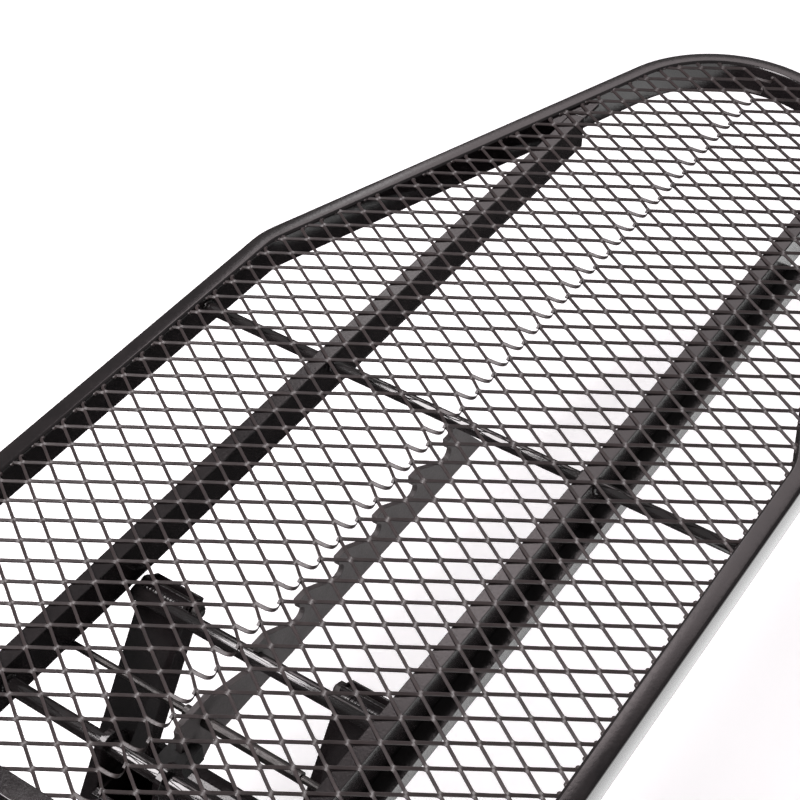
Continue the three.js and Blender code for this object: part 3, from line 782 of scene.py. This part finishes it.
def make_camera():
    data = bpy.data.cameras.new("camera")
    data.sensor_width = 36
    data.lens = CAMERA_LENS
    data.clip_end = 50
    camera = bpy.data.objects.new("camera", data)
    camera.location = DECK + CAMERA_OFFSET
    camera.rotation_euler = look_rotation(*CAMERA_ANGLES)
    bpy.context.scene.collection.objects.link(camera)
    bpy.context.scene.camera = camera


def make_floor():
    """A pale floor that glows by itself. Glossy rays pass it, so the gloss paint stays black."""
    bpy.ops.mesh.primitive_plane_add(size=60, location=(DECK.x, 0, -0.002))
    floor = bpy.context.object
    floor.name = "floor"
    material, _, _, shader = new_material("pale_floor")
    shader.inputs["Base Color"].default_value = (0.86, 0.85, 0.86, 1)
    shader.inputs["Roughness"].default_value = 0.7
    shader.inputs["Emission Color"].default_value = (1, 0.985, 1, 1)
    shader.inputs["Emission Strength"].default_value = FLOOR_GLOW
    floor.data.materials.append(material)
    floor.visible_glossy = False


def area_light(name, place, target, size, radiance):
    """A rectangular softbox of the given radiance. It isn't seen by the camera itself."""
    data = bpy.data.lights.new(name, "AREA")
    data.shape = "RECTANGLE"
    data.size, data.size_y = size
    data.energy = radiance * math.pi * size[0] * size[1]
    light = bpy.data.objects.new(name, data)
    light.location = place
    light.rotation_euler = (Vector(target) - Vector(place)).to_track_quat("-Z", "Y").to_euler()
    light.visible_camera = False
    bpy.context.scene.collection.objects.link(light)
    return light


def make_world():
    """Soft grey above the horizon, nearly black below it, and white where the camera sees it."""
    world = bpy.data.worlds.new("world")
    bpy.context.scene.world = world
    world.use_nodes = True
    nodes, links = world.node_tree.nodes, world.node_tree.links
    place = nodes.new("ShaderNodeTexCoord")
    split = nodes.new("ShaderNodeSeparateXYZ")
    links.new(place.outputs["Generated"], split.inputs["Vector"])
    greys = [(0.0, (0.03, 0.03, 0.03)), (0.12, (0.26, 0.26, 0.26))]
    height = ramp(nodes, links, split.outputs["Z"], greys)
    seen = nodes.new("ShaderNodeLightPath")
    mix = nodes.new("ShaderNodeMix")
    mix.data_type = "RGBA"
    links.new(seen.outputs["Is Camera Ray"], mix.inputs["Factor"])
    links.new(height, mix.inputs["A"])
    mix.inputs["B"].default_value = (1, 1, 1, 1)
    links.new(mix.outputs["Result"], nodes["Background"].inputs["Color"])


def direction(azimuth, elevation):
    """Unit vector at an azimuth from +X towards +Y and an elevation, in degrees."""
    a, e = math.radians(azimuth), math.radians(elevation)
    return Vector((math.cos(e) * math.cos(a), math.cos(e) * math.sin(a), math.sin(e)))


def make_lights():
    """The world, three softboxes behind the deck, a strip high on its left, a card low on its right."""
    make_world()
    softbox = area_light("back_softbox", DECK + SOFTBOX_DISTANCE * direction(23, 42), DECK, (2.8, 2.8), 1.7)
    softbox.data.color = SOFTBOX_TINT
    area_light("bend_softbox", DECK + SOFTBOX_DISTANCE * direction(37.5, 36), DECK, (0.5, 0.9), 2.6)
    high = area_light("high_softbox", DECK + SOFTBOX_DISTANCE * direction(31, 53), DECK, (1.1, 0.9), 2.6)
    high.data.color = SOFTBOX_TINT
    centre = direction(137, 57)
    strip = area_light("top_strip", DECK + STRIP_DISTANCE * centre, DECK, (2.6, 0.85), 13)
    strip.data.color = STRIP_TINT
    long_side = Vector((centre.z, 0, -centre.x)).normalized()
    short_side = centre.cross(long_side)
    strip.rotation_euler = Matrix((long_side, short_side, centre)).transposed().to_euler()
    above = CARD_PLACE + Vector((0, 0, 1))
    card = area_light("low_card", CARD_PLACE, above, (3.2, 1.3), 1.75)
    card.rotation_euler = (math.pi, 0, 0)


# ---- assembly ----
dress_nodes()
tube = perimeter_tube(ENAMEL)
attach(tube, "deck")
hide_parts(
    *[f"{part}_{hand}" for part in ("side_rail", "taper_rail", "rear_bow") for hand in ("left", "right")],
)
for side, hand in ((1, "left"), (-1, "right")):
    grille, ends = sheet(side, f"expanded_metal_{hand}", STRAND)
    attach(grille, "deck")
    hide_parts(f"mesh_sheet_{hand}")
    spots = spot_welds(f"spot_welds_{hand}", ends, STRAND)
    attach(spots, "deck")
for make_welds, body in ((deck_welds, "deck"), (prop_welds, "prop"), (hitch_welds, "hitch")):
    piece = make_welds(ENAMEL)
    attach(piece, body)
for side, hand in ((1, "left"), (-1, "right")):
    bolt_y(f"hex_bolt_arm_{hand}", f"arm_bolt_{hand}", "prop", side, SMALL_HEX, OXIDE)
    nut_y(f"hex_nut_arm_{hand}", f"arm_nut_{hand}", "prop", -side, SMALL_HEX, OXIDE)
round_rod("cross_rod_round", "cross_rod", "deck", ROD_PAINT)
round_rod("hinge_axle_round", "hinge_axle", "deck", ROD_PAINT)
round_rod("prop_bar_round", "prop_bar", "prop", ROD_PAINT)
bolt_y("hex_bolt_ear", "ear_bolt", "hitch", 1, SMALL_HEX, OXIDE)
nut_y("hex_nut_ear", "ear_nut", "hitch", -1, SMALL_HEX, OXIDE)
bolt_y("hex_bolt_pivot", "prop_pivot_bolt", "hitch", 1, PIVOT_HEX, OXIDE)
nut_y("hex_nut_pivot", "prop_pivot_nut", "hitch", -1, PIVOT_HEX, OXIDE)

make_floor()
make_lights()
make_camera()
scene = bpy.context.scene
scene.view_settings.view_transform = "Standard"
